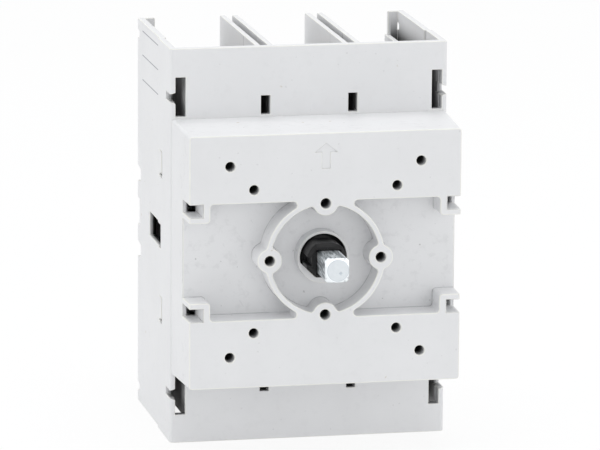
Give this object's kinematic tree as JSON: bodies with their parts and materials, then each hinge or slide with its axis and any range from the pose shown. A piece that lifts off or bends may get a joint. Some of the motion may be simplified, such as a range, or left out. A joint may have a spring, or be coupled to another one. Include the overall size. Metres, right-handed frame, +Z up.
{
  "type": "electrical disconnect switch",
  "caption": "Rotary disconnect switch for a panel door: moulded body with open terminal chambers, fixing holes and a square drive shaft.",
  "frame": {"origin": "on the shaft's axis, in the front mounting face", "axes": "+X right, +Z up towards the line terminals, +Y into the switch; the shaft points along -Y"},
  "size_m": [0.0704, 0.0823, 0.1002],
  "materials": {
    "housing": "fine satin, light grey thermoset",
    "black_plastic": "satin black",
    "zinc_steel": "bright zinc plate",
    "spring_steel": "oiled spring steel",
    "silver_copper": "bright copper, silvered at the contacts"
  },
  "bodies": {
    "body": {"front_cover": "housing", "contact_housing": "housing", "terminal_base": "housing", "rear_plate": "housing", "snap_spring": "spring_steel", "line_contact_1": "silver_copper", "load_contact_1": "silver_copper", "line_contact_2": "silver_copper", "load_contact_2": "silver_copper", "line_contact_3": "silver_copper", "load_contact_3": "silver_copper"},
    "shaft": {"drive_shaft": "zinc_steel", "drive_hub": "black_plastic"},
    "carrier": {"rack_slide": "black_plastic", "contact_carrier": "black_plastic", "blade_1_front": "silver_copper", "leaf_spring_1_front": "spring_steel", "blade_1_rear": "silver_copper", "leaf_spring_1_rear": "spring_steel", "blade_2_front": "silver_copper", "leaf_spring_2_front": "spring_steel", "blade_2_rear": "silver_copper", "leaf_spring_2_rear": "spring_steel", "blade_3_front": "silver_copper", "leaf_spring_3_front": "spring_steel", "blade_3_rear": "silver_copper", "leaf_spring_3_rear": "spring_steel"},
    "line_screw_1_body": {"line_screw_1": "zinc_steel"},
    "line_cage_1_body": {"line_cage_1": "zinc_steel"},
    "line_screw_2_body": {"line_screw_2": "zinc_steel"},
    "line_cage_2_body": {"line_cage_2": "zinc_steel"},
    "line_screw_3_body": {"line_screw_3": "zinc_steel"},
    "line_cage_3_body": {"line_cage_3": "zinc_steel"},
    "load_screw_1_body": {"load_screw_1": "zinc_steel"},
    "load_cage_1_body": {"load_cage_1": "zinc_steel"},
    "load_screw_2_body": {"load_screw_2": "zinc_steel"},
    "load_cage_2_body": {"load_cage_2": "zinc_steel"},
    "load_screw_3_body": {"load_screw_3": "zinc_steel"},
    "load_cage_3_body": {"load_cage_3": "zinc_steel"}
  },
  "joints": [
    {"name": "shaft_turn", "type": "hinge", "parent": "body", "child": "shaft", "pos_m": [0, 0, 0], "axis": [0, 1, 0], "range_deg": [0, 90]},
    {"name": "carrier_slide", "type": "slide", "parent": "body", "child": "carrier", "axis": [-1, 0, 0], "range_m": [0, 0.00785]},
    {"name": "line_screw_1_turn", "type": "hinge", "parent": "body", "child": "line_screw_1_body", "pos_m": [-0.02165, 0.05, 0.0329], "axis": [0, -1, 0], "range_deg": [0, 2880]},
    {"name": "line_cage_1_lift", "type": "slide", "parent": "body", "child": "line_cage_1_body", "axis": [0, 1, 0], "range_m": [0, 0.008]},
    {"name": "line_screw_2_turn", "type": "hinge", "parent": "body", "child": "line_screw_2_body", "pos_m": [0, 0.05, 0.0329], "axis": [0, -1, 0], "range_deg": [0, 2880]},
    {"name": "line_cage_2_lift", "type": "slide", "parent": "body", "child": "line_cage_2_body", "axis": [0, 1, 0], "range_m": [0, 0.008]},
    {"name": "line_screw_3_turn", "type": "hinge", "parent": "body", "child": "line_screw_3_body", "pos_m": [0.02165, 0.05, 0.0329], "axis": [0, -1, 0], "range_deg": [0, 2880]},
    {"name": "line_cage_3_lift", "type": "slide", "parent": "body", "child": "line_cage_3_body", "axis": [0, 1, 0], "range_m": [0, 0.008]},
    {"name": "load_screw_1_turn", "type": "hinge", "parent": "body", "child": "load_screw_1_body", "pos_m": [-0.02165, 0.05, -0.0329], "axis": [0, -1, 0], "range_deg": [0, 2880]},
    {"name": "load_cage_1_lift", "type": "slide", "parent": "body", "child": "load_cage_1_body", "axis": [0, 1, 0], "range_m": [0, 0.008]},
    {"name": "load_screw_2_turn", "type": "hinge", "parent": "body", "child": "load_screw_2_body", "pos_m": [0, 0.05, -0.0329], "axis": [0, -1, 0], "range_deg": [0, 2880]},
    {"name": "load_cage_2_lift", "type": "slide", "parent": "body", "child": "load_cage_2_body", "axis": [0, 1, 0], "range_m": [0, 0.008]},
    {"name": "load_screw_3_turn", "type": "hinge", "parent": "body", "child": "load_screw_3_body", "pos_m": [0.02165, 0.05, -0.0329], "axis": [0, -1, 0], "range_deg": [0, 2880]},
    {"name": "load_cage_3_lift", "type": "slide", "parent": "body", "child": "load_cage_3_body", "axis": [0, 1, 0], "range_m": [0, 0.008]}
  ],
  "couplings": [
    {"joint": "shaft_turn", "follows": "carrier_slide", "rad_per_m": 200},
    {"joint": "line_screw_1_turn", "follows": "line_cage_1_lift", "rad_per_m": 6283.2},
    {"joint": "line_screw_2_turn", "follows": "line_cage_2_lift", "rad_per_m": 6283.2},
    {"joint": "line_screw_3_turn", "follows": "line_cage_3_lift", "rad_per_m": 6283.2},
    {"joint": "load_screw_1_turn", "follows": "load_cage_1_lift", "rad_per_m": 6283.2},
    {"joint": "load_screw_2_turn", "follows": "load_cage_2_lift", "rad_per_m": 6283.2},
    {"joint": "load_screw_3_turn", "follows": "load_cage_3_lift", "rad_per_m": 6283.2}
  ]
}
